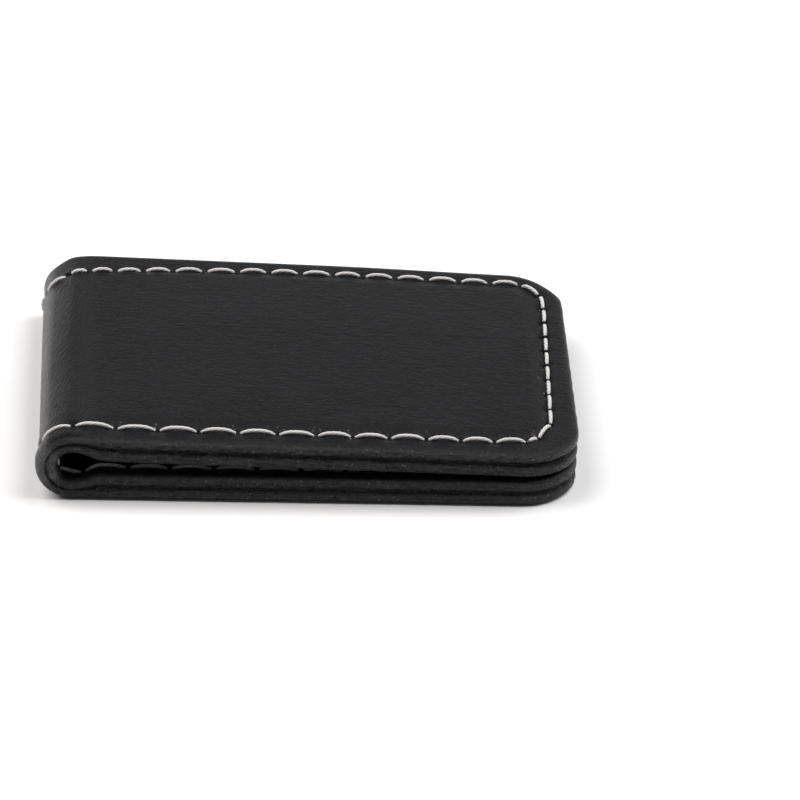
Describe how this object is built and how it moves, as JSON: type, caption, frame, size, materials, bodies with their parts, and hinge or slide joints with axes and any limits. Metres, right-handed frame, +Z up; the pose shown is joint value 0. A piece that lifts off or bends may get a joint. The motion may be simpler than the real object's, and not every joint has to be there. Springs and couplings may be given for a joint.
{
  "type": "money clip",
  "caption": "Folded leather money clip with magnets sewn into its leaves and contrast stitching round the edge.",
  "frame": {"origin": "under the middle of the closed clip, on the surface it lies on", "axes": "+X along the clip from the fold to the free tips, +Y across it, +Z up through the leaves"},
  "size_m": [0.0614, 0.0426, 0.0084],
  "materials": {
    "cover_leather": "satin, fine smooth grain",
    "lining_leather": "satin, rough painted cut edge",
    "thread": "waxed twisted polyester",
    "board": "matte fibreboard",
    "magnet": "bright nickel plating"
  },
  "bodies": {
    "lower_leaf": {"cover_lower": "cover_leather", "lining_lower": "lining_leather", "board_lower": "board", "magnet_lower_near": "magnet", "magnet_lower_far": "magnet", "needle_thread_lower": "thread", "bobbin_thread_lower": "thread"},
    "fold_link_1": {"cover_fold_1": "cover_leather", "lining_fold_1": "lining_leather", "needle_thread_fold_1_near": "thread", "needle_thread_fold_1_far": "thread", "bobbin_thread_fold_1_near": "thread", "bobbin_thread_fold_1_far": "thread"},
    "fold_link_2": {"cover_fold_2": "cover_leather", "lining_fold_2": "lining_leather", "needle_thread_fold_2_near": "thread", "needle_thread_fold_2_far": "thread", "bobbin_thread_fold_2_near": "thread", "bobbin_thread_fold_2_far": "thread"},
    "fold_link_3": {"cover_fold_3": "cover_leather", "lining_fold_3": "lining_leather", "needle_thread_fold_3_near": "thread", "needle_thread_fold_3_far": "thread", "bobbin_thread_fold_3_near": "thread", "bobbin_thread_fold_3_far": "thread"},
    "fold_link_4": {"cover_fold_4": "cover_leather", "lining_fold_4": "lining_leather", "needle_thread_fold_4_near": "thread", "needle_thread_fold_4_far": "thread", "bobbin_thread_fold_4_near": "thread", "bobbin_thread_fold_4_far": "thread"},
    "fold_link_5": {"cover_fold_5": "cover_leather", "lining_fold_5": "lining_leather", "needle_thread_fold_5_near": "thread", "needle_thread_fold_5_far": "thread", "bobbin_thread_fold_5_near": "thread", "bobbin_thread_fold_5_far": "thread"},
    "upper_leaf": {"cover_upper": "cover_leather", "lining_upper": "lining_leather", "board_upper": "board", "magnet_upper_near": "magnet", "magnet_upper_far": "magnet", "needle_thread_upper": "thread", "bobbin_thread_upper": "thread"}
  },
  "joints": [
    {"name": "fold_hinge_1", "type": "hinge", "parent": "lower_leaf", "child": "fold_link_1", "pos_m": [-0.02749, 0, 0.00072], "axis": [0, -1, 0], "range_deg": [0, 30.27], "stiffness_Nm_per_rad": 0.05},
    {"name": "fold_hinge_2", "type": "hinge", "parent": "fold_link_1", "child": "fold_link_2", "pos_m": [-0.02911, 0, 0.00167], "axis": [0, -1, 0], "range_deg": [0, 30.27], "stiffness_Nm_per_rad": 0.05},
    {"name": "fold_hinge_3", "type": "hinge", "parent": "fold_link_2", "child": "fold_link_3", "pos_m": [-0.03004, 0, 0.00331], "axis": [0, -1, 0], "range_deg": [0, 30.27], "stiffness_Nm_per_rad": 0.05},
    {"name": "fold_hinge_4", "type": "hinge", "parent": "fold_link_3", "child": "fold_link_4", "pos_m": [-0.03001, 0, 0.00519], "axis": [0, -1, 0], "range_deg": [0, 30.27], "stiffness_Nm_per_rad": 0.05},
    {"name": "fold_hinge_5", "type": "hinge", "parent": "fold_link_4", "child": "fold_link_5", "pos_m": [-0.02904, 0, 0.0068], "axis": [0, -1, 0], "range_deg": [0, 30.27], "stiffness_Nm_per_rad": 0.05},
    {"name": "fold_hinge_6", "type": "hinge", "parent": "fold_link_5", "child": "upper_leaf", "pos_m": [-0.02739, 0, 0.0077], "axis": [0, -1, 0], "range_deg": [0, 30.27], "stiffness_Nm_per_rad": 0.05}
  ]
}
